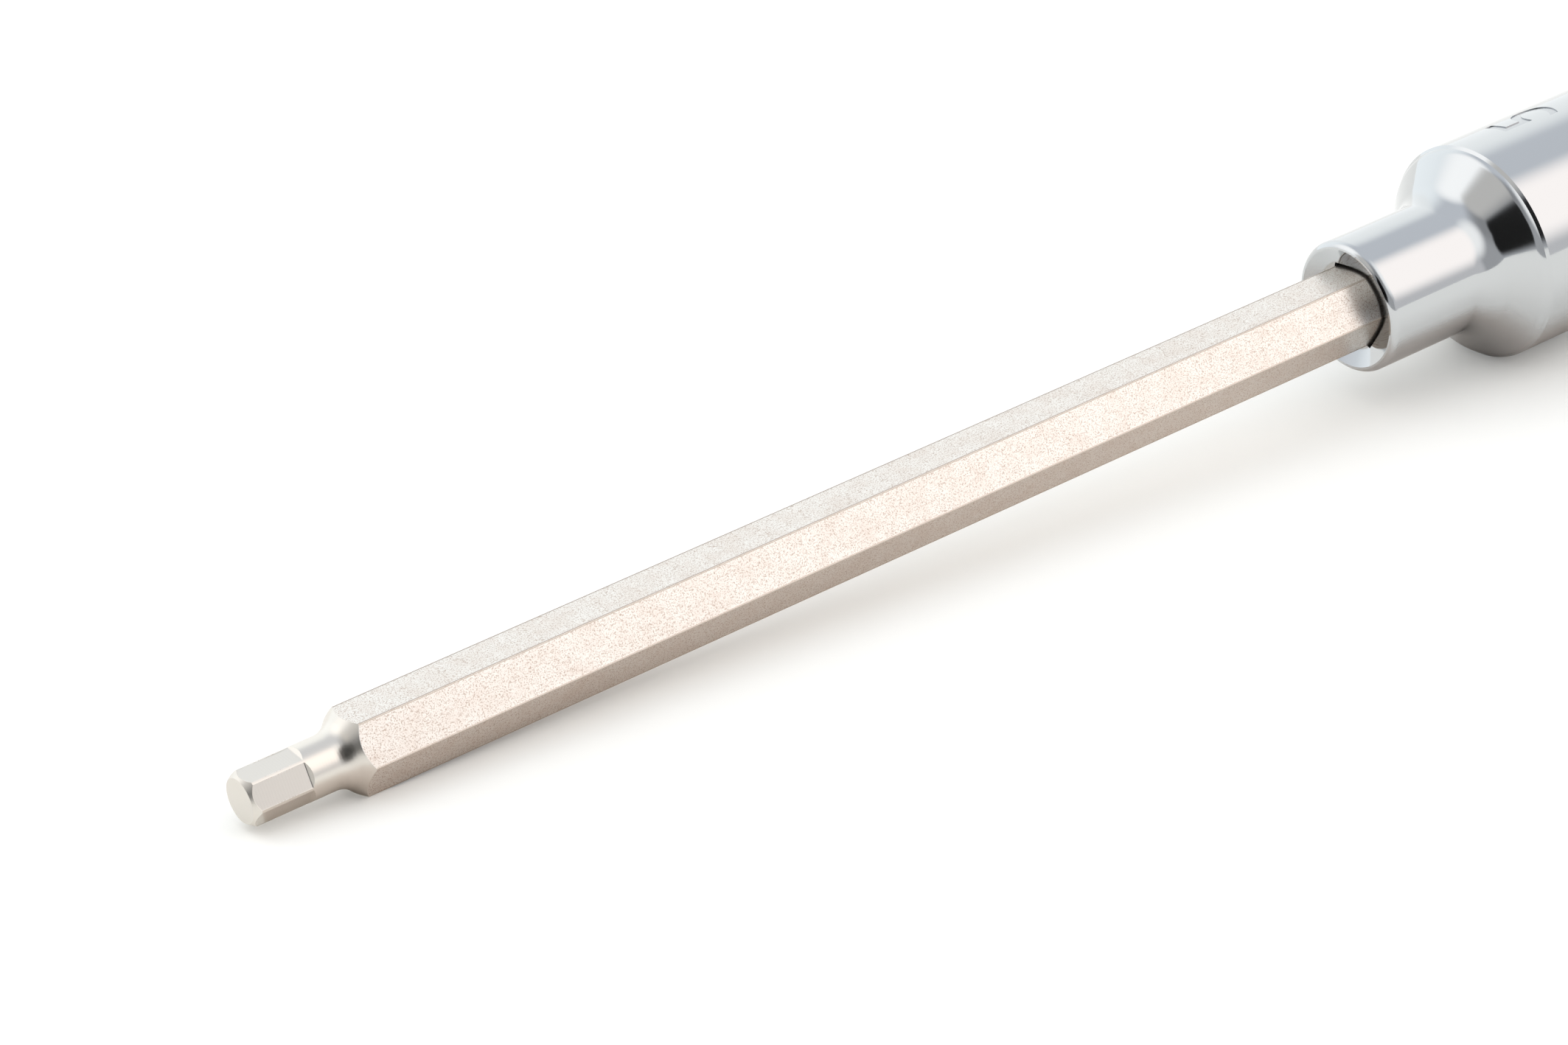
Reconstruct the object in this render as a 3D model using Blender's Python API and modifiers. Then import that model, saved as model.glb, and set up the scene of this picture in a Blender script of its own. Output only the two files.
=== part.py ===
"""Long hex bit socket: a chromed drive body with a hexagon bit pressed into its nose."""

import math

import bpy

# The tool is modelled standing on its drive end, axis along local Z, tip up. It is then laid down
# on a table, where it rests on the edge of its thick end and on one flat of its shank. Sizes are metres.

# Whole tool
OVERALL_LENGTH = 0.1800
BODY_LENGTH = 0.04025

# Drive body, outside
BODY_DIAMETER = 0.0243
NOSE_DIAMETER = 0.01484
NOSE_REACH = 0.0189
RIM_ROUND_LENGTH = 0.0009
RIM_ROUND_DEPTH = 0.0005
SHOULDER_SLOPE = math.radians(47)
SHOULDER_ROOT_RADIUS = 0.0045
SHOULDER_CREST_RADIUS = 0.0018
SHOULDER_CREST_SLOPE = math.radians(20)
SHOULDER_EDGE_CHAMFER = 0.0003
DRIVE_EDGE_RADIUS = 0.0010

# Drive body, inside
DRIVE_SQUARE = 0.0128
DRIVE_CORNER_RADIUS = 0.0006
DRIVE_DEPTH = 0.0170
DRIVE_ENTRY_DIAMETER = 0.0164
DETENT_GROOVE_DEPTH = 0.0010
DETENT_GROOVE_WIDTH = 0.0042
DETENT_GROOVE_HEIGHT = 0.0080
KNOCKOUT_DIAMETER = 0.0066
BORE_DEPTH = 0.0210
MOUTH_DIAMETER = 0.0134
MOUTH_HALF_ANGLE = math.radians(60)

# Hexagon bit
SHANK_FLATS = 0.0080
SHANK_CORNER_RISE = 0.00059
ROOT_CHAMFER = 0.0006
TIP_FLATS = 0.0050
TIP_CORNER_RISE = 0.00031
TIP_TURN = math.radians(-6)
TIP_LENGTH = 0.00635
TIP_END_INSET = 0.00018
TIP_CHAMFER_LENGTH = 0.00068
TIP_RUNOUT_SLOPE = math.radians(45)
NECK_LENGTH = 0.0030
NECK_FILLET_RADIUS = 0.00275
NECK_SLOPE = math.radians(45)

# Fits
PRESS_GAP = 0.00005
SEAT_GAP = 0.0003

# Fineness of the turned faces
BODY_STEPS = 72
BIT_STEPS = 60
ARC_STEP = math.radians(10)

# Room by which a cutter runs past the face it opens
OVERRUN = 0.0020


def clear_scene():
    """Remove every object that the new file starts with."""
    for obj in list(bpy.data.objects):
        bpy.data.objects.remove(obj, do_unlink=True)


def new_collection(name):
    """Add a collection to the scene and return it."""
    group = bpy.data.collections.new(name)
    bpy.context.scene.collection.children.link(group)
    return group


def finish(name, colour, metallic, roughness):
    """Return a Principled material with the given surface values."""
    material = bpy.data.materials.new(name)
    material.use_nodes = True
    shader = material.node_tree.nodes["Principled BSDF"]
    shader.inputs["Base Color"].default_value = (*colour, 1.0)
    shader.inputs["Metallic"].default_value = metallic
    shader.inputs["Roughness"].default_value = roughness
    material.diffuse_color = (*colour, 1.0)
    return material


def arc(start, radius, from_slope, to_slope, turn):
    """Points of an arc that runs down a turned profile.

    start is the (radius, height) it leaves from, and the slopes are angles away from the axis. turn is +1
    where the outline bends outwards on its way down (a hollow), and -1 where it bends back (a crest).
    The first point is left out, because the profile already holds it.
    """
    count = max(2, math.ceil(abs(to_slope - from_slope) / ARC_STEP))
    points = []
    for i in range(1, count + 1):
        slope = from_slope + (to_slope - from_slope) * i / count
        out = turn * radius * (math.cos(from_slope) - math.cos(slope))
        down = turn * radius * (math.sin(slope) - math.sin(from_slope))
        points.append((start[0] + out, start[1] - down))
    return points


def body_profile():
    """Outline of the drive body from the middle of its rim down to the middle of its drive end."""
    rim = NOSE_DIAMETER / 2
    top = BODY_LENGTH
    outline = [(0.0, top), (rim - RIM_ROUND_DEPTH, top)]
    radius = (RIM_ROUND_LENGTH**2 + RIM_ROUND_DEPTH**2) / (2 * RIM_ROUND_DEPTH)
    edge_slope = math.asin(RIM_ROUND_LENGTH / radius)
    outline += arc(outline[-1], radius, edge_slope, 0.0, -1)

    body = BODY_DIAMETER / 2
    edge = body - SHOULDER_EDGE_CHAMFER
    root_out = SHOULDER_ROOT_RADIUS * (1 - math.cos(SHOULDER_SLOPE))
    root_down = SHOULDER_ROOT_RADIUS * math.sin(SHOULDER_SLOPE)
    crest_out = SHOULDER_CREST_RADIUS * (math.cos(SHOULDER_CREST_SLOPE) - math.cos(SHOULDER_SLOPE))
    crest_down = SHOULDER_CREST_RADIUS * (math.sin(SHOULDER_SLOPE) - math.sin(SHOULDER_CREST_SLOPE))
    cone_out = edge - rim - root_out - crest_out
    cone_down = cone_out / math.tan(SHOULDER_SLOPE)
    shoulder = root_down + cone_down + crest_down + SHOULDER_EDGE_CHAMFER

    outline.append((rim, top - NOSE_REACH + shoulder))
    outline += arc(outline[-1], SHOULDER_ROOT_RADIUS, 0.0, SHOULDER_SLOPE, 1)
    outline.append((outline[-1][0] + cone_out, outline[-1][1] - cone_down))
    outline += arc(outline[-1], SHOULDER_CREST_RADIUS, SHOULDER_SLOPE, SHOULDER_CREST_SLOPE, -1)
    outline.append((body, top - NOSE_REACH))

    outline.append((body, DRIVE_EDGE_RADIUS))
    outline += arc(outline[-1], DRIVE_EDGE_RADIUS, 0.0, -math.pi / 2, -1)
    outline.append((0.0, 0.0))
    return outline


def bit_profile():
    """Outline that the hexagon bar is turned to, from the end of the tip down to the pressed root."""
    end = TIP_FLATS / 2 - TIP_END_INSET
    neck = TIP_FLATS / 2 + TIP_CORNER_RISE
    shank = SHANK_FLATS / 2 + SHANK_CORNER_RISE
    top = OVERALL_LENGTH
    outline = [(0.0, top), (end, top), (neck, top - TIP_CHAMFER_LENGTH)]
    outline.append((neck, top - TIP_LENGTH - NECK_LENGTH))
    outline += arc(outline[-1], NECK_FILLET_RADIUS, 0.0, NECK_SLOPE, 1)

    cone_out = shank - outline[-1][0]
    outline.append((shank, outline[-1][1] - cone_out / math.tan(NECK_SLOPE)))

    seat = BODY_LENGTH - BORE_DEPTH + SEAT_GAP
    outline.append((shank, seat + ROOT_CHAMFER))
    outline.append((shank - ROOT_CHAMFER, seat))
    outline.append((0.0, seat))
    return outline


def turned(name, profile, steps, group, smooth=False):
    """A solid of revolution about local Z, spun from an outline of (radius, height) points."""
    mesh = bpy.data.meshes.new(name)
    edges = [(i, i + 1) for i in range(len(profile) - 1)]
    mesh.from_pydata([(radius, 0.0, height) for radius, height in profile], edges, [])
    obj = bpy.data.objects.new(name, mesh)
    group.objects.link(obj)
    spin = obj.modifiers.new("turn", "SCREW")
    spin.axis = "Z"
    spin.angle = math.tau
    spin.steps = steps
    spin.render_steps = steps
    spin.use_merge_vertices = True
    spin.merge_threshold = 0.000001
    spin.use_smooth_shade = smooth
    return obj


def prism(name, sides, low, high, turn, group):
    """A regular prism about local Z between two (across flats, height) ends, tapered where they differ.

    With turn 0 one of its corners faces local +Y.
    """
    corner = 2 * math.cos(math.pi / sides)
    bottom = low[1]
    top = high[1]
    bpy.ops.mesh.primitive_cone_add(
        vertices=sides,
        radius1=low[0] / corner,
        radius2=high[0] / corner,
        depth=top - bottom,
    )
    obj = bpy.context.active_object
    obj.name = name
    obj.data.name = name
    obj.location = (0.0, 0.0, (top + bottom) / 2)
    obj.rotation_euler = (0.0, 0.0, turn)
    for owner in list(obj.users_collection):
        owner.objects.unlink(obj)
    group.objects.link(obj)
    return obj


def combine(target, tool, operation):
    """Cut, join or trim the target with a tool that stays in the file as a wire."""
    step = target.modifiers.new(tool.name, "BOOLEAN")
    step.operation = operation
    step.solver = "EXACT"
    step.object = tool
    tool.hide_render = True
    tool.display_type = "WIRE"


def round_edges(obj, radius):
    """Round the edges of a block by the given radius."""
    soft = obj.modifiers.new("round", "BEVEL")
    soft.width = radius
    soft.segments = 3
    soft.limit_method = "ANGLE"


def make_body(group, cutters):
    """The drive body with its square recess, knock-out hole, hexagon bore and countersunk mouth."""
    body = turned("socket_body", body_profile(), BODY_STEPS, group, smooth=True)

    low = (DRIVE_SQUARE, -OVERRUN)
    high = (DRIVE_SQUARE, DRIVE_DEPTH)
    square = prism("cut_drive_square", 4, low, high, math.pi / 4, cutters)
    round_edges(square, DRIVE_CORNER_RADIUS)
    combine(body, square, "DIFFERENCE")

    entry = DRIVE_ENTRY_DIAMETER / 2
    reach = entry - DRIVE_SQUARE / 4
    funnel = [(0.0, reach), (entry - reach, reach), (entry + OVERRUN, -OVERRUN), (0.0, -OVERRUN)]
    combine(body, turned("cut_drive_entry", funnel, BODY_STEPS, cutters), "DIFFERENCE")

    groove = DRIVE_SQUARE / 2 + DETENT_GROOVE_DEPTH
    half = DETENT_GROOVE_WIDTH / 2
    inner = groove - half
    ring = [(0.0, DETENT_GROOVE_HEIGHT + half), (inner, DETENT_GROOVE_HEIGHT + half)]
    ring += arc(ring[-1], half, math.pi / 2, -math.pi / 2, -1)
    ring.append((0.0, DETENT_GROOVE_HEIGHT - half))
    combine(body, turned("cut_detent_groove", ring, BODY_STEPS, cutters), "DIFFERENCE")

    hole = KNOCKOUT_DIAMETER / 2
    bore_floor = BODY_LENGTH - BORE_DEPTH
    shaft = [(0.0, bore_floor + OVERRUN), (hole, bore_floor + OVERRUN)]
    shaft += [(hole, DRIVE_DEPTH - OVERRUN), (0.0, DRIVE_DEPTH - OVERRUN)]
    combine(body, turned("cut_knockout", shaft, BIT_STEPS, cutters), "DIFFERENCE")

    bore_flats = SHANK_FLATS + 2 * PRESS_GAP
    low = (bore_flats, bore_floor)
    high = (bore_flats, BODY_LENGTH + OVERRUN)
    combine(body, prism("cut_hex_bore", 6, low, high, 0.0, cutters), "DIFFERENCE")

    mouth = MOUTH_DIAMETER / 2
    flare = OVERRUN * math.tan(MOUTH_HALF_ANGLE)
    depth = mouth / math.tan(MOUTH_HALF_ANGLE)
    cone = [(0.0, BODY_LENGTH + OVERRUN), (mouth + flare, BODY_LENGTH + OVERRUN)]
    cone.append((0.0, BODY_LENGTH - depth))
    combine(body, turned("cut_mouth", cone, BIT_STEPS, cutters), "DIFFERENCE")
    return body


def make_bit(group, cutters):
    """The bit: a hexagon bar with a smaller hexagon tip, turned to its outline at both ends.

    Each flat of the tip runs out onto the round neck in a short ramp, which leaves a lens-shaped step.
    """
    shoulder = OVERALL_LENGTH - TIP_LENGTH
    rise = 2 * TIP_CORNER_RISE
    run = rise / math.tan(TIP_RUNOUT_SLOPE)
    low = (SHANK_FLATS, 0.0)
    high = (SHANK_FLATS, shoulder - 0.75 * run)
    bit = prism("hex_bit", 6, low, high, 0.0, group)

    low = (TIP_FLATS + 2 * rise, shoulder - run)
    high = (TIP_FLATS, shoulder)
    combine(bit, prism("add_runout", 6, low, high, TIP_TURN, cutters), "UNION")

    low = (TIP_FLATS, shoulder - 0.5 * run)
    high = (TIP_FLATS, OVERALL_LENGTH + OVERRUN)
    combine(bit, prism("add_tip", 6, low, high, TIP_TURN, cutters), "UNION")
    outline = turned("trim_outline", bit_profile(), BIT_STEPS, cutters, smooth=True)
    combine(bit, outline, "INTERSECT")
    return bit


def height_at(profile, radius):
    """Height at which an outline, followed down from its top, first reaches the given radius."""
    for upper, lower in zip(profile, profile[1:]):
        if upper[0] < radius <= lower[0]:
            part = (radius - upper[0]) / (lower[0] - upper[0])
            return upper[1] + part * (lower[1] - upper[1])
    return profile[-1][1]


def lay_down(objects):
    """Lay the tool on the table: tip towards -X, resting on the thick end's edge and a flat of the shank."""
    body = body_profile()
    bit = bit_profile()
    heel_radius = SHANK_FLATS / 2
    heel = height_at(bit, heel_radius)
    tilt = max(math.atan2(radius - heel_radius, heel - height) for radius, height in body)
    lean = math.sin(tilt)
    run = math.cos(tilt)
    right = max(radius * lean - height * run for radius, height in body)
    left = min(-radius * lean - height * run for radius, height in bit)

    pose = bpy.data.objects.new("lying_pose", None)
    bpy.context.scene.collection.objects.link(pose)
    pose.rotation_euler = (0.0, -(math.pi / 2 + tilt), 0.0)
    pose.location = (-(left + right) / 2, 0.0, heel * lean + heel_radius * run)
    for obj in objects:
        obj.parent = pose


def main():
    """Build the two pieces and lay the tool down."""
    clear_scene()
    group = new_collection("hex_bit_socket")
    cutters = new_collection("cutters")
    body = make_body(group, cutters)
    bit = make_bit(group, cutters)
    body.data.materials.append(finish("polished_chrome", (0.78, 0.79, 0.81), 1.0, 0.07))
    bit.data.materials.append(finish("satin_nickel", (0.80, 0.76, 0.72), 1.0, 0.36))
    lay_down(list(group.objects) + list(cutters.objects))


main()
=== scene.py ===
"""A long hex bit socket on a white table: a chromed drive body and a nickel-plated hexagon bit."""

import logging
import math
from dataclasses import dataclass, field
from enum import Enum, IntEnum

import bmesh
import bpy
from mathutils import Matrix, Quaternion, Vector


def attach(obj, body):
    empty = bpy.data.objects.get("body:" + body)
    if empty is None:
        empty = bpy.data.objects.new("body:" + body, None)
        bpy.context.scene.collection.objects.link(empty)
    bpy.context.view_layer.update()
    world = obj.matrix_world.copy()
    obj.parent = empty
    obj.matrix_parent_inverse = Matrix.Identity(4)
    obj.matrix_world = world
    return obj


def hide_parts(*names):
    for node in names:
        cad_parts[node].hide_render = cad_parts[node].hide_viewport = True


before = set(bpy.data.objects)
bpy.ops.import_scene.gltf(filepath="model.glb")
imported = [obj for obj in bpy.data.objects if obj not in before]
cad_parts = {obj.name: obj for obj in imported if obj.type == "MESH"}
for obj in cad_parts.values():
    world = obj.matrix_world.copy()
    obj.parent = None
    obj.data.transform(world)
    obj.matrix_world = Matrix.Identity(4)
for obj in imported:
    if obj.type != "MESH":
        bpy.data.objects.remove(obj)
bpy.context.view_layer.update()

LOG = logging.getLogger("hex_bit_socket")
MM = 0.001
# Points nearer to each other than this are one point.
SAME_POINT = 0.0001 * MM
# Blender's wave texture runs through this many radians over one unit at scale 1.
WAVE_RADIANS = 20
CORNER_STEPS = 5


class Work(Enum):
    """What one solid does to another."""

    CUT = "DIFFERENCE"
    JOIN = "UNION"
    TRIM = "INTERSECT"


class BodyPlate(IntEnum):
    """Material slots of the drive body."""

    POLISHED = 0
    STAMPED = 1


class BitPlate(IntEnum):
    """Material slots of the bit."""

    SATIN = 0
    TURNED = 1
    TUMBLED = 2
    # Painted dark reflection line along the shank's rounded corners.
    PAINTED_DARK_EDGE = 3


@dataclass(frozen=True)
class LyingPose:
    """Place of the tool, which rests on the edge of its thick end and on a flat of its shank."""

    tilt: float = math.radians(3.17398072)
    drive_face: tuple[float, float, float] = (0.0896175, 0.0, 0.0133135)

    def matrix(self) -> Matrix:
        """Return the place of a tool that was made standing on its drive face."""
        lie_down = Matrix.Rotation(-(math.pi / 2 + self.tilt), 4, "Y")
        return Matrix.Translation(self.drive_face) @ lie_down


def linear(code: str) -> tuple[float, float, float, float]:
    """Turn an sRGB hex colour into linear light.

    Args:
        code: The colour, such as "#C6C8CA".

    Returns:
        Red, green, blue and a full alpha.
    """
    values = [int(code[i : i + 2], 16) / 255 for i in (1, 3, 5)]
    red, green, blue = (v / 12.92 if v <= 0.04045 else ((v + 0.055) / 1.055) ** 2.4 for v in values)
    return red, green, blue, 1.0


def toward(bearing: float, rise: float) -> Vector:
    """Return a direction.

    Args:
        bearing: Degrees from +X towards +Y.
        rise: Degrees above the table.

    Returns:
        The direction, of length 1.
    """
    turn = math.radians(bearing)
    up = math.radians(rise)
    return Vector((math.cos(up) * math.cos(turn), math.cos(up) * math.sin(turn), math.sin(up)))


def add_node(
    tree: bpy.types.NodeTree, kind: str, inputs: dict | None = None, **settings: object
) -> bpy.types.Node:
    """Add a node, with its settings and with its inputs set or linked.

    Args:
        tree: The node tree to add to.
        kind: The node's type name.
        inputs: Values or sockets, by input name or number.
        **settings: Properties of the node itself.

    Returns:
        The new node.
    """
    node = tree.nodes.new(kind)
    for name, value in settings.items():
        setattr(node, name, value)
    for key, value in (inputs or {}).items():
        if isinstance(value, bpy.types.NodeSocket):
            tree.links.new(value, node.inputs[key])
        else:
            node.inputs[key].default_value = value
    return node


def new_material(name: str) -> tuple[bpy.types.Material, bpy.types.NodeTree, bpy.types.Node]:
    """Start a material with a bare Principled shader.

    Args:
        name: The material's name.

    Returns:
        The material, its node tree and the shader.
    """
    material = bpy.data.materials.new(name)
    material.use_nodes = True
    return material, material.node_tree, material.node_tree.nodes["Principled BSDF"]


@dataclass(frozen=True)
class ChromePlate:
    """Bright chromium plate on buffed steel: a cool mirror with faint waves and a trace of haze."""

    colour: str = "#C4C6C7"
    clear: float = 0.07
    hazy: float = 0.12
    haze_mm: float = 5.0
    haze_from: float = 0.35
    haze_to: float = 0.75
    wave_mm: float = 3.2
    wave_height_mm: float = 0.0016

    def material(self) -> bpy.types.Material:
        """Make the plate.

        Returns:
            The material.
        """
        material, tree, shader = new_material("chromium_plate_mirror_polished")
        place = add_node(tree, "ShaderNodeTexCoord").outputs["Object"]
        shader.inputs["Base Color"].default_value = linear(self.colour)
        shader.inputs["Metallic"].default_value = 1.0
        haze = add_node(
            tree,
            "ShaderNodeTexNoise",
            {"Vector": place, "Scale": 1 / (self.haze_mm * MM), "Detail": 4.0},
        )
        gloss = add_node(
            tree,
            "ShaderNodeMapRange",
            {
                "Value": haze.outputs["Fac"],
                "From Min": self.haze_from,
                "From Max": self.haze_to,
                "To Min": self.clear,
                "To Max": self.hazy,
            },
        )
        tree.links.new(gloss.outputs["Result"], shader.inputs["Roughness"])
        wave = add_node(
            tree,
            "ShaderNodeTexNoise",
            {"Vector": place, "Scale": 1 / (self.wave_mm * MM), "Detail": 1.0},
        )
        height = {"Strength": 1.0, "Distance": self.wave_height_mm * MM}
        bump = add_node(tree, "ShaderNodeBump", {"Height": wave.outputs["Fac"], **height})
        tree.links.new(bump.outputs["Normal"], shader.inputs["Normal"])
        return material


@dataclass(frozen=True)
class StampedFloor:
    """Plate over a stamped groove: the same chromium, left matt by the die's rough face."""

    colour: str = "#BCBEC0"
    roughness: float = 0.24
    grit_mm: float = 0.15
    grit_height_mm: float = 0.003

    def material(self) -> bpy.types.Material:
        """Make the groove's plate.

        Returns:
            The material.
        """
        material, tree, shader = new_material("chromium_plate_stamped_matt")
        place = add_node(tree, "ShaderNodeTexCoord").outputs["Object"]
        shader.inputs["Base Color"].default_value = linear(self.colour)
        shader.inputs["Metallic"].default_value = 1.0
        shader.inputs["Roughness"].default_value = self.roughness
        grit = add_node(
            tree,
            "ShaderNodeTexNoise",
            {"Vector": place, "Scale": 1 / (self.grit_mm * MM), "Detail": 2.0},
        )
        height = {"Strength": 1.0, "Distance": self.grit_height_mm * MM}
        bump = add_node(tree, "ShaderNodeBump", {"Height": grit.outputs["Fac"], **height})
        tree.links.new(bump.outputs["Normal"], shader.inputs["Normal"])
        return material


@dataclass(frozen=True)
class SatinNickel:
    """Dull nickel plate on drawn steel: warm, satin, faintly mottled, with fine brownish pits."""

    pale: str = "#E8E4DE"
    pitted: str = "#BAA99C"
    mottled: str = "#E1D9D1"
    smooth: float = 0.32
    rough: float = 0.42
    # The real grit is near 0.05 mm, which is finer than a pixel, so it is drawn coarser.
    grit_mm: float = 0.14
    grit_height_mm: float = 0.0022
    pit_from: float = 0.52
    pit_to: float = 0.30
    mottle_mm: float = 2.6
    mottle_from: float = 0.42
    mottle_to: float = 0.68

    def material(self) -> bpy.types.Material:
        """Make the plate.

        Returns:
            The material.
        """
        material, tree, shader = new_material("nickel_plate_satin")
        place = add_node(tree, "ShaderNodeTexCoord").outputs["Object"]
        shader.inputs["Metallic"].default_value = 1.0
        mottle = add_node(
            tree,
            "ShaderNodeTexNoise",
            {
                "Vector": place,
                "Scale": 1 / (self.mottle_mm * MM),
                "Detail": 5.0,
                "Roughness": 0.65,
            },
        )
        span = {"From Min": self.mottle_from, "From Max": self.mottle_to}
        blotch = add_node(tree, "ShaderNodeMapRange", {"Value": mottle.outputs["Fac"], **span})
        plate = add_node(
            tree,
            "ShaderNodeMix",
            {0: blotch.outputs["Result"], 6: linear(self.pale), 7: linear(self.mottled)},
            data_type="RGBA",
        )
        grit = add_node(
            tree,
            "ShaderNodeTexNoise",
            {"Vector": place, "Scale": 1 / (self.grit_mm * MM), "Detail": 2.0},
        )
        span = {"From Min": self.pit_from, "From Max": self.pit_to}
        pit = add_node(tree, "ShaderNodeMapRange", {"Value": grit.outputs["Fac"], **span})
        colour = add_node(
            tree,
            "ShaderNodeMix",
            {0: pit.outputs["Result"], 6: plate.outputs[2], 7: linear(self.pitted)},
            data_type="RGBA",
        )
        tree.links.new(colour.outputs[2], shader.inputs["Base Color"])
        span = {"To Min": self.smooth, "To Max": self.rough}
        gloss = add_node(tree, "ShaderNodeMapRange", {"Value": pit.outputs["Result"], **span})
        tree.links.new(gloss.outputs["Result"], shader.inputs["Roughness"])
        height = {"Strength": 1.0, "Distance": self.grit_height_mm * MM}
        bump = add_node(tree, "ShaderNodeBump", {"Height": grit.outputs["Fac"], **height})
        tree.links.new(bump.outputs["Normal"], shader.inputs["Normal"])
        return material


@dataclass(frozen=True)
class TurnedNickel:
    """The same nickel over lathe-cut steel: no pits, a closer shine and faint tool rings."""

    name: str = "nickel_plate_over_turned_steel"
    colour: str = "#DDD8D0"
    roughness: float = 0.29
    # Real tool rings are near 0.1 mm apart, finer than a pixel, so they are drawn coarser.
    ring_mm: float = 0.3
    ring_height_mm: float = 0.0012
    ring_wander: float = 1.5
    axis_tilt: float = LyingPose.tilt

    def material(self) -> bpy.types.Material:
        """Make the plate, with its rings across the lying tool's axis.

        Returns:
            The material.
        """
        material, tree, shader = new_material(self.name)
        place = add_node(tree, "ShaderNodeTexCoord").outputs["Object"]
        turn = {"Rotation": (0.0, self.axis_tilt, 0.0)}
        level = add_node(tree, "ShaderNodeMapping", {"Vector": place, **turn})
        shader.inputs["Base Color"].default_value = linear(self.colour)
        shader.inputs["Metallic"].default_value = 1.0
        shader.inputs["Roughness"].default_value = self.roughness
        ring = add_node(
            tree,
            "ShaderNodeTexWave",
            {
                "Vector": level.outputs["Vector"],
                "Scale": math.tau / (WAVE_RADIANS * self.ring_mm * MM),
                "Distortion": self.ring_wander,
                "Detail": 1.0,
            },
        )
        height = {"Strength": 1.0, "Distance": self.ring_height_mm * MM}
        bump = add_node(tree, "ShaderNodeBump", {"Height": ring.outputs["Fac"], **height})
        tree.links.new(bump.outputs["Normal"], shader.inputs["Normal"])
        return material


@dataclass(frozen=True)
class TumbledNickel(TurnedNickel):
    """Nickel over the bit's tumbled end: turned too, but rubbed to an even satin."""

    name: str = "nickel_plate_over_tumbled_end"
    roughness: float = 0.42


@dataclass(frozen=True)
class PaintedDarkEdge(TurnedNickel):
    """Nickel along the shank's rounded corners, painted darker: a brownish painted dark reflection
    line between two bright flats.
    """

    name: str = "nickel_plate_painted_dark_edge"
    # Painted reflection: the dark line the rounded corners show between the flats.
    colour: str = "#C2B6AA"
    roughness: float = 0.3


@dataclass(frozen=True)
class MattBoard:
    """Matt white board: no shine, and a little painted glow of its own, though it is no lamp, which
    keeps its shadows pale.
    """

    name: str = "white_board_matt"
    colour: str = "#EEEEEB"
    # Painted glow: light the board gives off of its own, which lifts the shadows on it.
    glow: float = 0.0

    def material(self) -> bpy.types.Material:
        """Make the board's surface.

        Returns:
            The material.
        """
        material, _, shader = new_material(self.name)
        shader.inputs["Base Color"].default_value = linear(self.colour)
        shader.inputs["Roughness"].default_value = 1.0
        shader.inputs["Specular IOR Level"].default_value = 0.0
        # Painted glow: the board's emission, which keeps its shadows pale.
        shader.inputs["Emission Color"].default_value = linear(self.colour)
        shader.inputs["Emission Strength"].default_value = self.glow
        return material


@dataclass(frozen=True)
class BlackCard(MattBoard):
    """Matt black card: a dark place for mirror faces to show."""

    name: str = "black_card_matt"
    colour: str = "#0C0C0C"


@dataclass(frozen=True)
class PaintedShadeSheet(MattBoard):
    """Painted shade: a grey sheet that mirror faces show in place of the tool's shadow on the
    table, thinner to its long edges so that it ends without a line in what mirrors it.
    """

    name: str = "painted_shade_sheet"
    # Painted shade: the tone of the shadowed table under the tool.
    colour: str = "#E4DCD5"
    middle: float = 0.0
    full: float = 4.0 * MM
    reach: float = 12.0 * MM

    def material(self) -> bpy.types.Material:
        """Make the painted shade sheet, which covers its middle and fades out across its width.

        Returns:
            The material.
        """
        material = super().material()
        tree = material.node_tree
        place = add_node(tree, "ShaderNodeTexCoord").outputs["Object"]
        across = add_node(tree, "ShaderNodeSeparateXYZ", {0: place}).outputs["Y"]
        off = add_node(tree, "ShaderNodeMath", {0: across, 1: self.middle}, operation="SUBTRACT")
        away = add_node(tree, "ShaderNodeMath", {0: off.outputs[0]}, operation="ABSOLUTE")
        cover = add_node(
            tree,
            "ShaderNodeMapRange",
            {
                "Value": away.outputs[0],
                "From Min": self.full,
                "From Max": self.reach,
                "To Min": 1.0,
                "To Max": 0.0,
            },
            interpolation_type="SMOOTHSTEP",
        )
        tree.links.new(cover.outputs["Result"], tree.nodes["Principled BSDF"].inputs["Alpha"])
        return material


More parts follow.
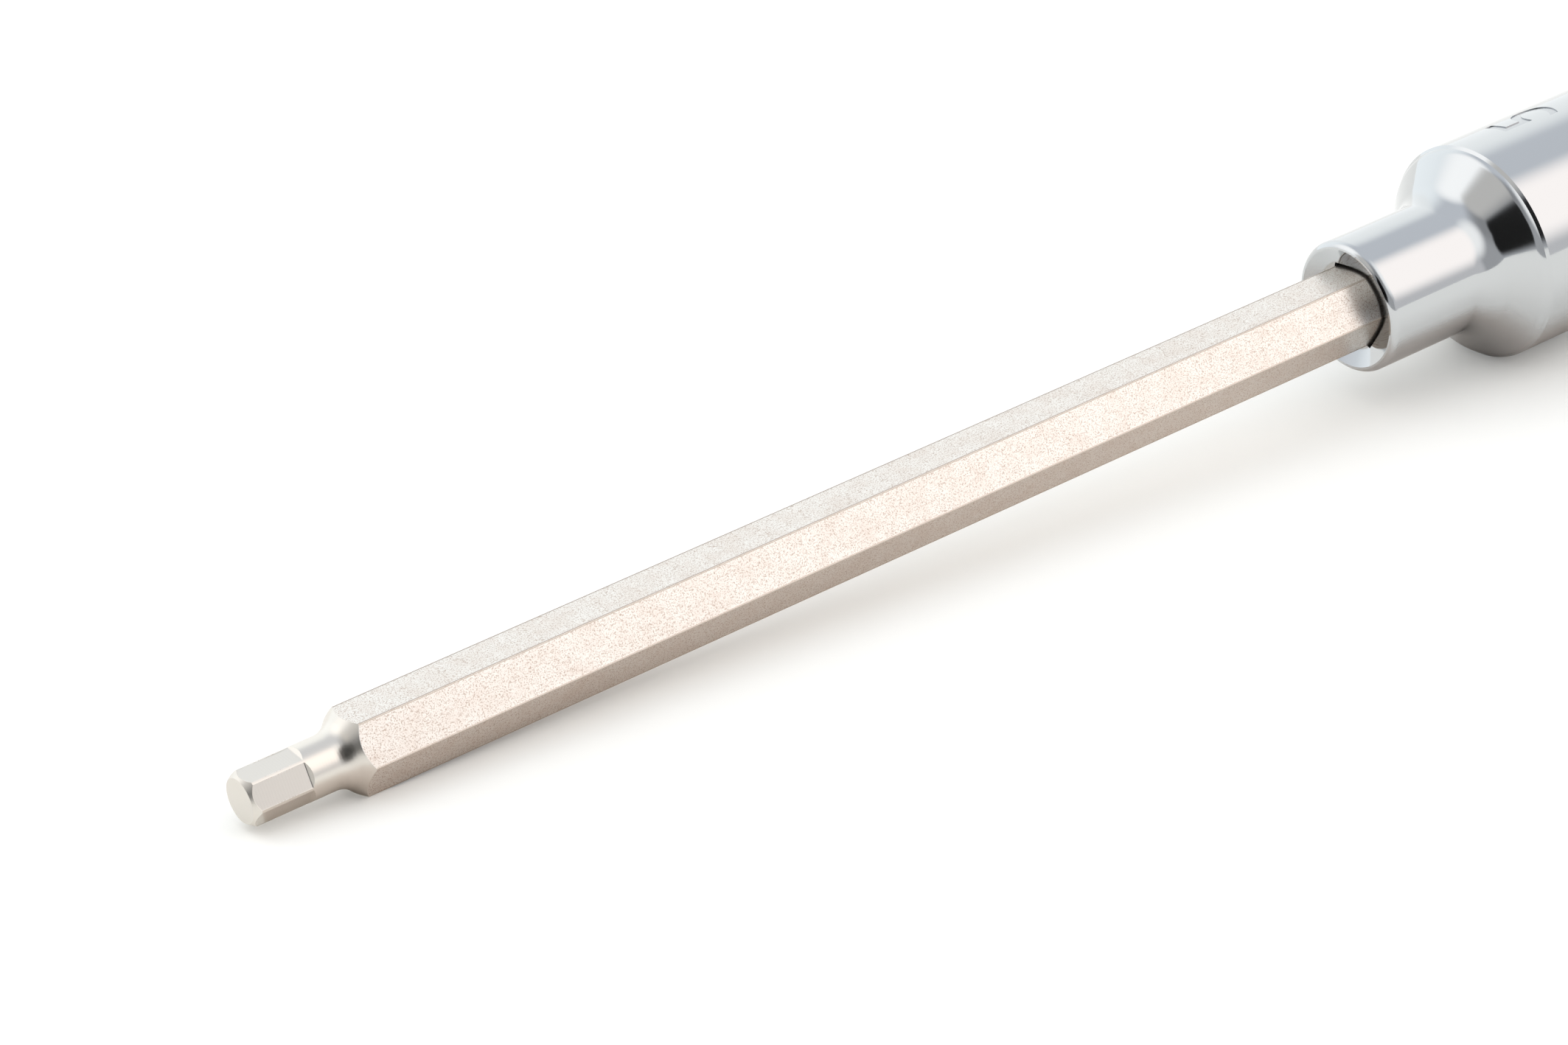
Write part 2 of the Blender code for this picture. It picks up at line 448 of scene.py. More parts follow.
class Outline:
    """The outline of a turned piece, drawn in the XZ plane from its top end downwards."""

    def __init__(self, radius: float, height: float) -> None:
        """Start the outline at a radius and height."""
        self.shape = bmesh.new()
        self.end = self.shape.verts.new((radius, 0.0, height))

    def line(self, radius: float, height: float, parts: int = 1) -> None:
        """Run straight to a new point.

        Args:
            radius: Distance of the point from the axis.
            height: Height of the point.
            parts: Number of equal pieces the line is made of.
        """
        start = self.end.co.copy()
        goal = Vector((radius, 0.0, height))
        for i in range(1, parts + 1):
            self.end = bmesh.ops.extrude_vert_indiv(self.shape, verts=[self.end])["verts"][0]
            self.end.co = start.lerp(goal, i / parts)

    def bend(self, radius: float, before: float, after: float, steps: int) -> None:
        """Run round an arc, hollow where the slope grows and crowned where it falls.

        Args:
            radius: Radius of the arc.
            before: Slope away from the axis where the arc starts.
            after: Slope away from the axis where the arc ends.
            steps: Number of pieces the arc is made of.
        """
        side = radius if after > before else -radius
        middle = self.end.co + side * Vector((math.cos(before), 0.0, math.sin(before)))
        swing = bmesh.ops.spin(
            self.shape,
            geom=[self.end],
            cent=middle,
            axis=(0.0, -1.0, 0.0),
            angle=after - before,
            steps=steps,
        )
        self.end = next(v for v in swing["geom_last"] if isinstance(v, bmesh.types.BMVert))

    def radius(self) -> float:
        """Return the radius at the end of the outline."""
        return self.end.co.x

    def height(self) -> float:
        """Return the height at the end of the outline."""
        return self.end.co.z

    def turned(self, steps: int) -> bmesh.types.BMesh:
        """Turn the outline once about the axis into a closed solid.

        Args:
            steps: Number of facets round the axis.

        Returns:
            The solid.
        """
        bmesh.ops.spin(
            self.shape,
            geom=self.shape.verts[:] + self.shape.edges[:],
            cent=(0.0, 0.0, 0.0),
            axis=(0.0, 0.0, 1.0),
            angle=math.tau,
            steps=steps,
            use_merge=True,
        )
        bmesh.ops.remove_doubles(self.shape, verts=self.shape.verts, dist=SAME_POINT)
        bmesh.ops.recalc_face_normals(self.shape, faces=self.shape.faces)
        return self.shape


def prism(
    sides: int,
    low: tuple[float, float],
    high: tuple[float, float],
    turn: float = 0.0,
    corner: float = 0.0,
) -> bmesh.types.BMesh:
    """Make a regular prism about the axis, tapered where its ends differ.

    Args:
        sides: Number of flats.
        low: Size across flats and height of the lower end.
        high: Size across flats and height of the upper end.
        turn: Turn about the axis away from the place where a flat faces +X.
        corner: Radius of its rounded corners.

    Returns:
        The solid.
    """
    shape = bmesh.new()
    spread = 2 * math.cos(math.pi / sides)
    square_up = math.pi / 4 if sides == 4 else 0.0
    middle = Matrix.Translation((0.0, 0.0, (low[1] + high[1]) / 2))
    bmesh.ops.create_cone(
        shape,
        cap_ends=True,
        segments=sides,
        radius1=low[0] / spread,
        radius2=high[0] / spread,
        depth=high[1] - low[1],
        matrix=middle @ Matrix.Rotation(turn + square_up, 4, "Z"),
    )
    if corner:
        upright = [e for e in shape.edges if abs(e.verts[0].co.z - e.verts[1].co.z) > MM]
        bmesh.ops.bevel(
            shape,
            geom=upright,
            offset=corner * math.tan(math.pi / sides),
            segments=CORNER_STEPS,
            profile=0.5,
            affect="EDGES",
            material=-1,
        )
    return shape


class Workpiece:
    """A solid that other solids cut, join or trim before it is laid on the table."""

    # Edges shorter than this are left over from cuts.
    sliver: float = 0.0005 * MM

    def __init__(self, name: str, shape: bmesh.types.BMesh) -> None:
        """Take a first solid as the piece."""
        self.piece = self.as_object(name, shape)
        self.tools: list[bpy.types.Object] = []

    @staticmethod
    def as_object(name: str, shape: bmesh.types.BMesh) -> bpy.types.Object:
        """Turn a solid into an object in the scene.

        Args:
            name: The object's name.
            shape: The solid, which is used up.

        Returns:
            The object.
        """
        mesh = bpy.data.meshes.new(name)
        shape.to_mesh(mesh)
        shape.free()
        piece = bpy.data.objects.new(name, mesh)
        bpy.context.scene.collection.objects.link(piece)
        return piece

    def work(self, how: Work, shape: bmesh.types.BMesh) -> None:
        """Cut, join or trim the piece with a solid.

        Args:
            how: What the solid does.
            shape: The solid, which is used up.
        """
        tool = self.as_object(f"{self.piece.name}_tool_{len(self.tools)}", shape)
        self.tools.append(tool)
        step = self.piece.modifiers.new(how.name.lower(), "BOOLEAN")
        step.operation = how.value
        step.solver = "EXACT"
        step.object = tool

    def settle(self) -> None:
        """Keep the worked shape as the piece's own mesh, and clear the tools away."""
        seen = self.piece.evaluated_get(bpy.context.evaluated_depsgraph_get())
        rough = self.piece.data
        self.piece.modifiers.clear()
        self.piece.data = bpy.data.meshes.new_from_object(seen)
        self.piece.data.name = self.piece.name
        bpy.data.meshes.remove(rough)
        for tool in self.tools:
            bpy.data.meshes.remove(tool.data)
        self.tools.clear()

    def solid(self) -> bmesh.types.BMesh:
        """Settle the piece and take its object out of the scene.

        Returns:
            The piece as a loose solid.
        """
        self.settle()
        shape = bmesh.new()
        shape.from_mesh(self.piece.data)
        bpy.data.meshes.remove(self.piece.data)
        return shape

    def clean(self) -> None:
        """Merge the points and slivers that the cuts left behind, and turn all faces outwards."""
        shape = bmesh.new()
        shape.from_mesh(self.piece.data)
        bmesh.ops.remove_doubles(shape, verts=shape.verts, dist=self.sliver)
        bmesh.ops.dissolve_degenerate(shape, edges=shape.edges, dist=self.sliver)
        bmesh.ops.recalc_face_normals(shape, faces=shape.faces)
        shape.to_mesh(self.piece.data)
        shape.free()

    def lay(self, pose: Matrix, sharp: float) -> bpy.types.Object:
        """Settle the piece, smooth its faces between sharp edges, and lay it on the table.

        Args:
            pose: Place of the lying tool.
            sharp: Angle between faces from which an edge stays sharp.

        Returns:
            The finished object, at the origin with its place in its mesh.
        """
        self.settle()
        self.clean()
        mesh = self.piece.data
        mesh.shade_smooth()
        mesh.set_sharp_from_angle(angle=sharp)
        even = self.piece.modifiers.new("even", "WEIGHTED_NORMAL")
        even.mode = "FACE_AREA"
        even.keep_sharp = True
        self.settle()
        self.piece.data.transform(pose)
        return self.piece


@dataclass
class SizeMark:
    """The tip's size, stamped into the thick end with its top towards the tip."""

    text: str = "5"
    width: float = 4.2 * MM
    length: float = 7.9 * MM
    height: float = 11.55 * MM
    bearing: float = math.radians(10)
    depth: float = 0.10 * MM
    die_depth: float = 3.0 * MM
    die_reach: float = 1.5 * MM
    curve_steps: int = 8
    core_parts: int = 24
    # Points of the letter nearer than this are one point, at the letter's own size of about 1.
    letter_merge: float = 1e-5

    def letter(self) -> bmesh.types.BMesh:
        """Make the mark as a flat face of its real size, with its middle at the origin.

        Returns:
            The face.
        """
        curve = bpy.data.curves.new("size_mark", "FONT")
        curve.body = self.text
        curve.resolution_u = self.curve_steps
        sign = bpy.data.objects.new("size_mark", curve)
        bpy.context.scene.collection.objects.link(sign)
        seen = sign.evaluated_get(bpy.context.evaluated_depsgraph_get())
        flat = bpy.data.meshes.new_from_object(seen)
        shape = bmesh.new()
        shape.from_mesh(flat)
        bpy.data.curves.remove(curve)
        bpy.data.meshes.remove(flat)
        bmesh.ops.remove_doubles(shape, verts=shape.verts, dist=self.letter_merge)
        xs = [v.co.x for v in shape.verts]
        ys = [v.co.y for v in shape.verts]
        middle = Vector(((min(xs) + max(xs)) / 2, (min(ys) + max(ys)) / 2, 0.0))
        wide, tall = max(xs) - min(xs), max(ys) - min(ys)
        scale = Vector((self.width / wide, self.length / tall, 1.0))
        bmesh.ops.translate(shape, verts=shape.verts, vec=-middle)
        bmesh.ops.scale(shape, verts=shape.verts, vec=scale)
        return shape

    def cutter(self, body_radius: float, facets: int) -> bmesh.types.BMesh:
        """Make the solid that stamps the mark to an even depth.

        Args:
            body_radius: Radius of the round face it goes into.
            facets: Number of facets of that face.

        Returns:
            The solid.
        """
        shape = self.letter()
        risen = bmesh.ops.extrude_face_region(shape, geom=shape.faces[:])["geom"]
        upper = [v for v in risen if isinstance(v, bmesh.types.BMVert)]
        bmesh.ops.translate(shape, verts=upper, vec=(0.0, 0.0, self.die_depth))
        bmesh.ops.recalc_face_normals(shape, faces=shape.faces)
        out = Vector((math.cos(self.bearing), math.sin(self.bearing), 0.0))
        along = Vector((0.0, 0.0, 1.0))
        place = Matrix((along.cross(out), along, out)).transposed().to_4x4()
        place.translation = out * (body_radius - self.die_reach) + along * self.height
        bmesh.ops.transform(shape, matrix=place, verts=shape.verts)

        block = Workpiece("size_mark_block", shape)
        core = Outline(0.0, self.height + self.length)
        core.line(body_radius - self.depth, self.height + self.length)
        core.line(body_radius - self.depth, self.height - self.length, self.core_parts)
        core.line(0.0, self.height - self.length)
        block.work(Work.CUT, core.turned(facets))
        return block.solid()

    def holds(self, height: float, depth: float) -> bool:
        """Return whether a place on the body is the floor of the mark.

        Args:
            height: Height of the place on the standing body.
            depth: How far it lies below the round face.

        Returns:
            Whether it is the floor.
        """
        beside = abs(height - self.height) < 0.6 * self.length
        return beside and 0.3 * self.depth < depth < 1.5 * self.depth


@dataclass
class DriveBody:
    """The chromed drive body: thick drive end, concave shoulder and slim nose."""

    length: float = 40.25 * MM
    diameter: float = 24.3 * MM
    nose_diameter: float = 14.84 * MM
    nose_reach: float = 18.9 * MM
    rim_round_length: float = 0.9 * MM
    rim_round_depth: float = 0.5 * MM
    shoulder_slope: float = math.radians(47)
    shoulder_root: float = 4.5 * MM
    shoulder_crest: float = 1.8 * MM
    crest_slope: float = math.radians(20)
    shoulder_edge: float = 0.3 * MM
    drive_edge: float = 1.0 * MM
    square: float = 12.8 * MM
    square_corner: float = 0.6 * MM
    square_depth: float = 17.0 * MM
    entry_diameter: float = 16.4 * MM
    groove_depth: float = 1.0 * MM
    groove_width: float = 4.2 * MM
    groove_height: float = 8.0 * MM
    knockout_diameter: float = 6.6 * MM
    bore_flats: float = 8.1 * MM
    bore_depth: float = 21.0 * MM
    mouth_diameter: float = 13.4 * MM
    mouth_angle: float = math.radians(60)
    lead_depth: float = 1.0 * MM
    lead_gap: float = 0.17 * MM
    overrun: float = 2.0 * MM
    facets: int = 360
    recess_facets: int = 144
    hole_facets: int = 96
    mouth_facets: int = 180
    nose_parts: int = 8
    cone_parts: int = 4
    wall_parts: int = 40
    round_steps: int = 10
    root_steps: int = 20
    edge_steps: int = 12
    groove_steps: int = 24
    sharp: float = math.radians(22)
    mark: SizeMark = field(default_factory=SizeMark)

    def outside(self) -> bmesh.types.BMesh:
        """Turn the body's outside from its rim to its drive face.

        Returns:
            The solid body, without its hollows.
        """
        rim = self.nose_diameter / 2
        body = self.diameter / 2
        step = self.length - self.nose_reach
        lip = (self.rim_round_length**2 + self.rim_round_depth**2) / (2 * self.rim_round_depth)
        outline = Outline(0.0, self.length)
        outline.line(rim - self.rim_round_depth, self.length)
        outline.bend(lip, math.asin(self.rim_round_length / lip), 0.0, self.round_steps)

        steep, shallow = self.shoulder_slope, self.crest_slope
        root_out = self.shoulder_root * (1 - math.cos(steep))
        root_down = self.shoulder_root * math.sin(steep)
        crest_out = self.shoulder_crest * (math.cos(shallow) - math.cos(steep))
        crest_down = self.shoulder_crest * (math.sin(steep) - math.sin(shallow))
        cone_out = body - self.shoulder_edge - rim - root_out - crest_out
        cone_down = cone_out / math.tan(steep)
        nose_end = step + root_down + cone_down + crest_down + self.shoulder_edge
        outline.line(rim, nose_end, self.nose_parts)
        outline.bend(self.shoulder_root, 0.0, steep, self.root_steps)
        cone_end = outline.radius() + cone_out, outline.height() - cone_down
        outline.line(*cone_end, self.cone_parts)
        outline.bend(self.shoulder_crest, steep, shallow, self.round_steps)
        outline.line(body, step)

        outline.line(body, self.drive_edge, self.wall_parts)
        outline.bend(self.drive_edge, 0.0, -math.pi / 2, self.edge_steps)
        outline.line(0.0, 0.0)
        return outline.turned(self.facets)

    def drive_recess(self, piece: Workpiece) -> None:
        """Cut the square recess with its rounded entry and the groove that holds a drive's ball.

        Args:
            piece: The body, which is cut.
        """
        low = (self.square, -self.overrun)
        high = (self.square, self.square_depth)
        piece.work(Work.CUT, prism(4, low, high, corner=self.square_corner))

        entry = self.entry_diameter / 2
        reach = entry - self.square / 4
        funnel = Outline(0.0, reach)
        funnel.line(entry - reach, reach)
        funnel.line(entry + self.overrun, -self.overrun)
        funnel.line(0.0, -self.overrun)
        piece.work(Work.CUT, funnel.turned(self.recess_facets))

        half = self.groove_width / 2
        inner = self.square / 2 + self.groove_depth - half
        ring = Outline(0.0, self.groove_height + half)
        ring.line(inner, self.groove_height + half)
        ring.bend(half, math.pi / 2, -math.pi / 2, self.groove_steps)
        ring.line(0.0, self.groove_height - half)
        piece.work(Work.CUT, ring.turned(self.recess_facets))

    def bit_seat(self, piece: Workpiece) -> None:
        """Cut the hexagon bore with its dished mouth, its lead-in and the knock-out hole.

        Args:
            piece: The body, which is cut.
        """
        floor = self.length - self.bore_depth
        hole = self.knockout_diameter / 2
        shaft = Outline(0.0, floor + self.overrun)
        shaft.line(hole, floor + self.overrun)
        shaft.line(hole, self.square_depth - self.overrun)
        shaft.line(0.0, self.square_depth - self.overrun)
        piece.work(Work.CUT, shaft.turned(self.hole_facets))

        top = self.length + self.overrun
        piece.work(Work.CUT, prism(6, (self.bore_flats, floor), (self.bore_flats, top)))

        mouth = self.mouth_diameter / 2
        cone = Outline(0.0, top)
        cone.line(mouth + self.overrun * math.tan(self.mouth_angle), top)
        cone.line(0.0, self.length - mouth / math.tan(self.mouth_angle))
        piece.work(Work.CUT, cone.turned(self.mouth_facets))

        edge = self.length - (mouth - self.bore_flats / 2) / math.tan(self.mouth_angle)
        low = edge - self.lead_depth
        spread = self.bore_flats + 2 * self.lead_gap * (top - low) / self.lead_depth
        piece.work(Work.CUT, prism(6, (self.bore_flats, low), (spread, top)))

    def dress(self, piece: bpy.types.Object, pose: Matrix) -> None:
        """Plate the body, and leave the floor of the stamped mark matt.

        Args:
            piece: The finished body.
            pose: Place of the lying tool.
        """
        piece.data.materials.clear()
        for finish in (ChromePlate(), StampedFloor()):
            piece.data.materials.append(finish.material())
        standing = pose.inverted()
        for face in piece.data.polygons:
            spot = standing @ face.center
            depth = self.diameter / 2 - math.hypot(spot.x, spot.y)
            stamped = self.mark.holds(spot.z, depth)
            face.material_index = BodyPlate.STAMPED if stamped else BodyPlate.POLISHED

    def build(self, pose: Matrix) -> bpy.types.Object:
        """Make, plate and place the body.

        Args:
            pose: Place of the lying tool.

        Returns:
            The finished body.
        """
        work = Workpiece("drive_body", self.outside())
        self.drive_recess(work)
        self.bit_seat(work)
        work.work(Work.CUT, self.mark.cutter(self.diameter / 2, self.facets))
        piece = work.lay(pose, self.sharp)
        self.dress(piece, pose)
        return piece


@dataclass
class HexagonBit:
    """The nickel-plated bit: hexagon shank, turned neck and smaller hexagon tip."""

    top: float = 180.0 * MM
    seat: float = 19.55 * MM
    shank_flats: float = 8.0 * MM
    shank_rise: float = 0.59 * MM
    shank_corner: float = 0.15 * MM
    root_chamfer: float = 0.6 * MM
    tip_flats: float = 5.0 * MM
    tip_rise: float = 0.31 * MM
    tip_turn: float = math.radians(-6)
    tip_length: float = 6.35 * MM
    end_inset: float = 0.18 * MM
    chamfer_length: float = 0.68 * MM
    runout_slope: float = math.radians(45)
    neck_length: float = 3.0 * MM
    neck_fillet: float = 2.75 * MM
    neck_slope: float = math.radians(45)
    edge_wear: float = 0.08 * MM
    edge_dip: float = 0.03 * MM
    overrun: float = 2.0 * MM
    # How far the two bars reach into the tip's run-out, as shares of its length.
    shank_overlap: float = 0.75
    tip_overlap: float = 0.5
    # How far a face may lean, turn and lie off a true flat and still count as one.
    flat_lean: float = 0.02
    flat_turn: float = math.radians(2)
    flat_slack: float = 0.02 * MM
    corner_turn: float = math.radians(12)
    # An edge that rises by more than this share of its length runs along the bit.
    upright: float = 0.9
    facets: int = 240
    neck_parts: int = 6
    neck_steps: int = 16
    sharp: float = math.radians(14)

    def envelope(self) -> bmesh.types.BMesh:
        """Turn the outline that the hexagon bar is cut to.

        Returns:
            The solid that trims the bar.
        """
        neck = self.tip_flats / 2 + self.tip_rise
        shank = self.shank_flats / 2 + self.shank_rise
        outline = Outline(0.0, self.top)
        outline.line(self.tip_flats / 2 - self.end_inset, self.top)
        outline.line(neck, self.top - self.chamfer_length)
        outline.line(neck, self.top - self.tip_length - self.neck_length, self.neck_parts)
        outline.bend(self.neck_fillet, 0.0, self.neck_slope, self.neck_steps)
        cone_down = (shank - outline.radius()) / math.tan(self.neck_slope)
        outline.line(shank, outline.height() - cone_down, self.neck_parts)
        outline.line(shank, self.seat + self.root_chamfer)
        outline.line(shank - self.root_chamfer, self.seat)
        outline.line(0.0, self.seat)
        return outline.turned(self.facets)

    def bearing_off_flat(self, face: bmesh.types.BMFace) -> float:
        """Measure how far a face of the standing bit is turned away from the nearest flat.

        Args:
            face: The face.

        Returns:
            The angle about the axis.
        """
        on_tip = face.calc_center_median().z > self.top - self.tip_length - 2 * self.tip_rise
        turn = math.atan2(face.normal.y, face.normal.x) - (self.tip_turn if on_tip else 0.0)
        return abs((turn + math.pi / 6) % (math.pi / 3) - math.pi / 6)

    def is_flat(self, face: bmesh.types.BMFace) -> bool:
        """Tell whether a face of the standing bit lies on one of its flats.

        Args:
            face: The face.

        Returns:
            Whether it does.
        """
        reach = face.normal.dot(face.calc_center_median())
        off = min(abs(reach - self.tip_flats / 2), abs(reach - self.shank_flats / 2))
        level = abs(face.normal.z) < self.flat_lean and off < self.flat_slack
        return level and self.bearing_off_flat(face) < self.flat_turn

    def wear(self, shape: bmesh.types.BMesh) -> None:
        """Break the curved edges where the flats meet the turned faces.

        Args:
            shape: The standing bit.
        """
        flats = {f for f in shape.faces if self.is_flat(f)}
        dips: dict[bmesh.types.BMVert, Vector] = {}
        for flat in flats:
            for edge in flat.edges:
                run = edge.verts[0].co - edge.verts[1].co
                across = abs(run.z) < self.upright * run.length
                if across and not flats.issuperset(edge.link_faces):
                    dips.update({vert: flat.normal * self.edge_dip for vert in edge.verts})
        bmesh.ops.inset_region(
            shape, faces=list(flats), thickness=self.edge_wear, use_even_offset=True
        )
        for vert, dip in dips.items():
            vert.co -= dip

    def plate(self, face: bmesh.types.BMFace) -> BitPlate:
        """Choose the plate of a face of the standing bit.

        Args:
            face: The face.

        Returns:
            The material slot.
        """
        if self.is_flat(face):
            return BitPlate.SATIN
        height = face.calc_center_median().z
        if height > self.top - 1.1 * self.chamfer_length:
            return BitPlate.TUMBLED
        if height > self.top - self.tip_length - self.neck_length - 1.6 * self.neck_fillet:
            return BitPlate.TURNED
        # The shank's rounded corners get a darker plate: a painted dark reflection line.
        corner = self.bearing_off_flat(face) > self.corner_turn
        return BitPlate.PAINTED_DARK_EDGE if corner else BitPlate.SATIN

    def dress(self, piece: bpy.types.Object) -> None:
        """Plate the standing bit: satin flats, corners painted darker as a dark reflection line,
        and a closer shine on turned faces.

        Args:
            piece: The bit before it is laid down.
        """
        for finish in (SatinNickel(), TurnedNickel(), TumbledNickel(), PaintedDarkEdge()):
            piece.data.materials.append(finish.material())
        shape = bmesh.new()
        shape.from_mesh(piece.data)
        self.wear(shape)
        shape.normal_update()
        for face in shape.faces:
            face.material_index = self.plate(face)
        shape.to_mesh(piece.data)
        shape.free()

    def build(self, pose: Matrix) -> bpy.types.Object:
        """Make, plate and place the bit.

        Args:
            pose: Place of the lying tool.

        Returns:
            The finished bit.
        """
        shoulder = self.top - self.tip_length
        rise = 2 * self.tip_rise
        run = rise / math.tan(self.runout_slope)
        low = (self.shank_flats, self.seat - self.overrun)
        high = (self.shank_flats, shoulder - self.shank_overlap * run)
        work = Workpiece("hexagon_bit", prism(6, low, high, corner=self.shank_corner))
        low = (self.tip_flats + 2 * rise, shoulder - run)
        work.work(Work.JOIN, prism(6, low, (self.tip_flats, shoulder), self.tip_turn))
        low = (self.tip_flats, shoulder - self.tip_overlap * run)
        high = (self.tip_flats, self.top + self.overrun)
        work.work(Work.JOIN, prism(6, low, high, self.tip_turn))
        work.work(Work.TRIM, self.envelope())
        work.settle()
        self.dress(work.piece)
        return work.lay(pose, self.sharp)


@dataclass(frozen=True)
class Glow:
    """A soft round patch of the tent that is lighter or darker than the rest, in degrees."""

    bearing: float
    rise: float
    core: float
    reach: float
    colour: str
    strength: float

    def light(self) -> tuple[float, float, float, float]:
        """Return its linear colour times its strength."""
        red, green, blue, alpha = linear(self.colour)
        return red * self.strength, green * self.strength, blue * self.strength, alpha


# Later patches lie over earlier ones: bright walls first, then the tent's dark opening.
TENT = (
    Glow(85, 8, 12, 55, "#F7FCFF", 1.46),
    Glow(52, 12, 8, 36, "#FBFEFF", 1.33),
    Glow(-155, 30, 12, 50, "#E6E8EC", 0.48),
    Glow(-105, 8, 14, 44, "#E6E8EC", 0.66),
    Glow(-62, 2, 10, 30, "#EEEEF1", 0.94),
    Glow(-80, 52, 10, 38, "#FFFFFF", 1.45),
    Glow(-42, 39, 14, 34, "#FFF8F5", 1.70),
    Glow(130, 40, 4, 30, "#FFFFFF", 1.62),
    Glow(172, 42, 6, 22, "#FFFDFA", 0.80),
    Glow(-158, 25, 6, 13, "#FFFFFF", 0.02),
    Glow(-150, 14, 9, 16, "#FFFFFF", 0.02),
    Glow(-166, 4, 6, 14, "#FFFFFF", 0.06),
)


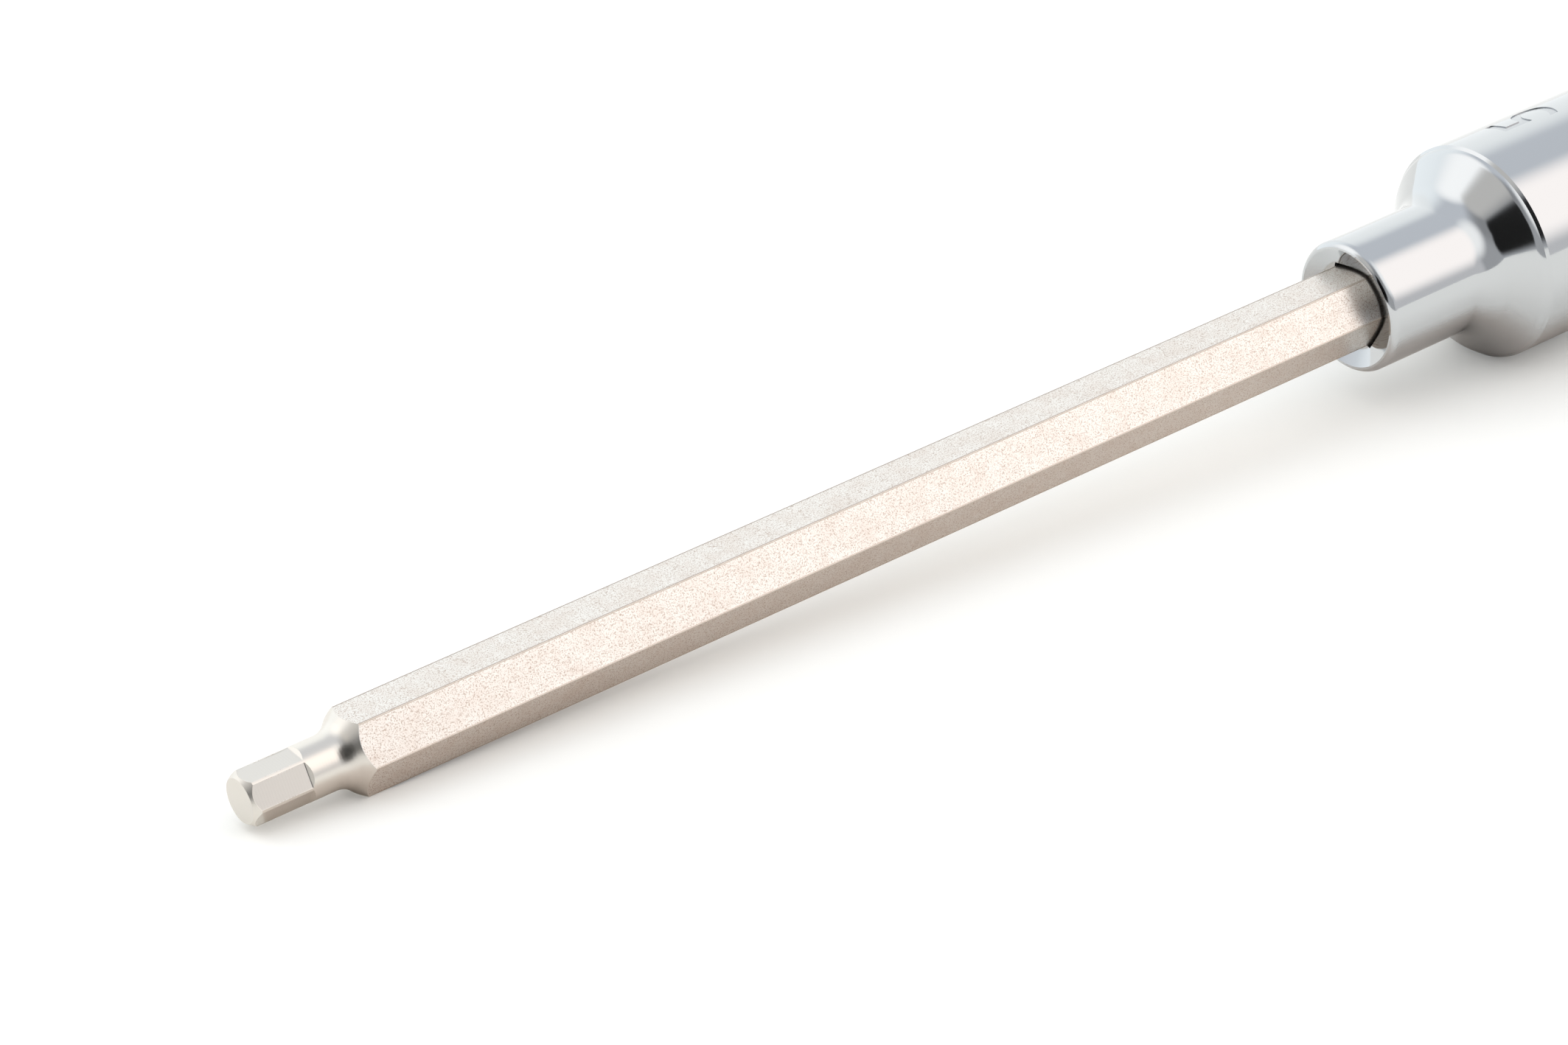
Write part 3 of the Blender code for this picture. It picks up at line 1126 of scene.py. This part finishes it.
@dataclass
class Studio:
    """White table in a light tent, with the camera at one end of the tool."""

    table_size: float = 8.0
    # Painted glow of the table, which keeps the shadows on it pale.
    table_painted_glow: float = 0.165
    # Place and size of the painted shade strip under the tool.
    strip_place: tuple[float, float, float] = (-0.004, -0.003, 0.0002)
    strip_size: tuple[float, float] = (0.168, 0.024)
    camera_place: tuple[float, float, float] = (-0.28429212, -0.35328998, 0.22574031)
    camera_target: tuple[float, float, float] = (-0.02524242, 0.00132507, 0.01)
    camera_roll: float = math.radians(-2.8088)
    camera_near: float = 0.01
    camera_far: float = 50.0
    lens_mm: float = 113.297
    sensor_mm: float = 36.0
    tent_colour: str = "#F2F7FF"
    tent_strength: float = 0.92
    backdrop: float = 1.1
    patches: tuple[Glow, ...] = TENT
    flag_aim: tuple[float, float, float] = (-0.078, 0.0, 0.006)
    flag_bearing: float = -118.0
    flag_rise: float = 30.0
    flag_distance: float = 0.08
    flag_radius: float = 0.044
    flag_sides: int = 48
    key_bearing: float = 130.0
    key_rise: float = 64.0
    key_spread: float = math.radians(70)
    key_colour: str = "#FFFCF8"
    key_strength: float = 0.55

    @staticmethod
    def board(shape: bmesh.types.BMesh, place: Matrix, finish: MattBoard, seen: bool) -> None:
        """Set up a board that belongs to the studio.

        Args:
            shape: The board, flat on the ground, which is used up.
            place: Where it goes.
            finish: What it is made of.
            seen: Whether the camera sees it, or only mirror faces do.
        """
        bmesh.ops.transform(shape, matrix=place, verts=shape.verts)
        mesh = bpy.data.meshes.new(finish.name)
        shape.to_mesh(mesh)
        shape.free()
        mesh.materials.append(finish.material())
        board = bpy.data.objects.new(finish.name, mesh)
        board.visible_camera = board.visible_diffuse = board.visible_shadow = seen
        bpy.context.scene.collection.objects.link(board)

    def table(self) -> None:
        """Lay the white board, and under the tool a grey strip of painted shade, for mirror faces
        alone.
        """
        size = self.table_size / 2
        shape = bmesh.new()
        bmesh.ops.create_grid(shape, x_segments=2, y_segments=2, size=size)
        self.board(shape, Matrix(), MattBoard(glow=self.table_painted_glow), True)
        shape = bmesh.new()
        bmesh.ops.create_grid(shape, x_segments=2, y_segments=2, size=0.5)
        place = Matrix.Translation(self.strip_place) @ Matrix.Diagonal((*self.strip_size, 1.0, 1.0))
        # Painted shade: a grey sheet that mirror faces show in place of the tool's shadow on the
        # table.
        shade_sheet = PaintedShadeSheet(middle=self.strip_place[1], reach=self.strip_size[1] / 2)
        self.board(shape, place, shade_sheet, False)

    def flag(self) -> None:
        """Hold a small black card over the bit's neck, where only mirror faces see it."""
        way = toward(self.flag_bearing, self.flag_rise)
        place = Matrix.Translation(Vector(self.flag_aim) + self.flag_distance * way)
        facing = place @ way.to_track_quat("Z", "Y").to_matrix().to_4x4()
        shape = bmesh.new()
        bmesh.ops.create_circle(
            shape, cap_ends=True, segments=self.flag_sides, radius=self.flag_radius
        )
        self.board(shape, facing, BlackCard(), False)

    def tent(self) -> None:
        """Light the table from a grey tent with bright walls and one dark opening."""
        world = bpy.data.worlds.new("light_tent")
        world.use_nodes = True
        bpy.context.scene.world = world
        tree = world.node_tree
        tree.nodes.clear()
        way = add_node(tree, "ShaderNodeTexCoord").outputs["Generated"]
        red, green, blue, alpha = linear(self.tent_colour)
        level = self.tent_strength
        colour = add_node(tree, "ShaderNodeRGB").outputs["Color"]
        colour.default_value = (red * level, green * level, blue * level, alpha)
        for patch in self.patches:
            near = add_node(
                tree,
                "ShaderNodeVectorMath",
                {0: way, 1: toward(patch.bearing, patch.rise)},
                operation="DOT_PRODUCT",
            )
            mask = add_node(
                tree,
                "ShaderNodeMapRange",
                {
                    "Value": near.outputs["Value"],
                    "From Min": math.cos(math.radians(patch.reach)),
                    "From Max": math.cos(math.radians(patch.core)),
                },
                interpolation_type="SMOOTHSTEP",
            )
            colour = add_node(
                tree,
                "ShaderNodeMix",
                {0: mask.outputs["Result"], 6: colour, 7: patch.light()},
                data_type="RGBA",
            ).outputs[2]
        seen = add_node(tree, "ShaderNodeLightPath").outputs["Is Camera Ray"]
        white = (self.backdrop, self.backdrop, self.backdrop, 1.0)
        shown = add_node(tree, "ShaderNodeMix", {0: seen, 6: colour, 7: white}, data_type="RGBA")
        glow = add_node(tree, "ShaderNodeBackground", {"Color": shown.outputs[2]})
        add_node(tree, "ShaderNodeOutputWorld", {"Surface": glow.outputs["Background"]})

    def key(self) -> None:
        """Hang a broad soft light behind the tool, which stays out of the mirror faces."""
        lamp = bpy.data.lights.new("soft_key", "SUN")
        lamp.energy = self.key_strength
        lamp.color = linear(self.key_colour)[:3]
        lamp.angle = self.key_spread
        light = bpy.data.objects.new("soft_key", lamp)
        way = toward(self.key_bearing, self.key_rise)
        light.rotation_mode = "QUATERNION"
        light.rotation_quaternion = way.to_track_quat("Z", "Y")
        light.location = way
        light.visible_glossy = False
        bpy.context.scene.collection.objects.link(light)

    def camera(self) -> None:
        """Set up the camera where the photograph was taken."""
        lens = bpy.data.cameras.new("camera")
        lens.lens = self.lens_mm
        lens.sensor_width = self.sensor_mm
        lens.clip_start = self.camera_near
        lens.clip_end = self.camera_far
        eye = bpy.data.objects.new("camera", lens)
        place = Vector(self.camera_place)
        look = (Vector(self.camera_target) - place).to_track_quat("-Z", "Y")
        eye.rotation_mode = "QUATERNION"
        eye.rotation_quaternion = look @ Quaternion((0.0, 0.0, 1.0), self.camera_roll)
        eye.location = place
        bpy.context.scene.collection.objects.link(eye)
        bpy.context.scene.camera = eye

    def build(self) -> None:
        """Set up the table, the light and the camera."""
        self.table()
        self.tent()
        self.flag()
        self.key()
        self.camera()
        bpy.context.scene.view_settings.view_transform = "Standard"


def main() -> None:
    """Build the tool and the studio, and note the sizes."""
    logging.basicConfig(level=logging.INFO, format="%(name)s: %(message)s")
    pose = LyingPose().matrix()
    for maker, node in ((DriveBody(), "socket_body"), (HexagonBit(), "hex_bit")):
        piece = maker.build(pose)
        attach(piece, "root")
        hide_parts(node)
        LOG.info("%s: %d faces", piece.name, len(piece.data.polygons))
    Studio().build()


if __name__ == "__main__":
    main()
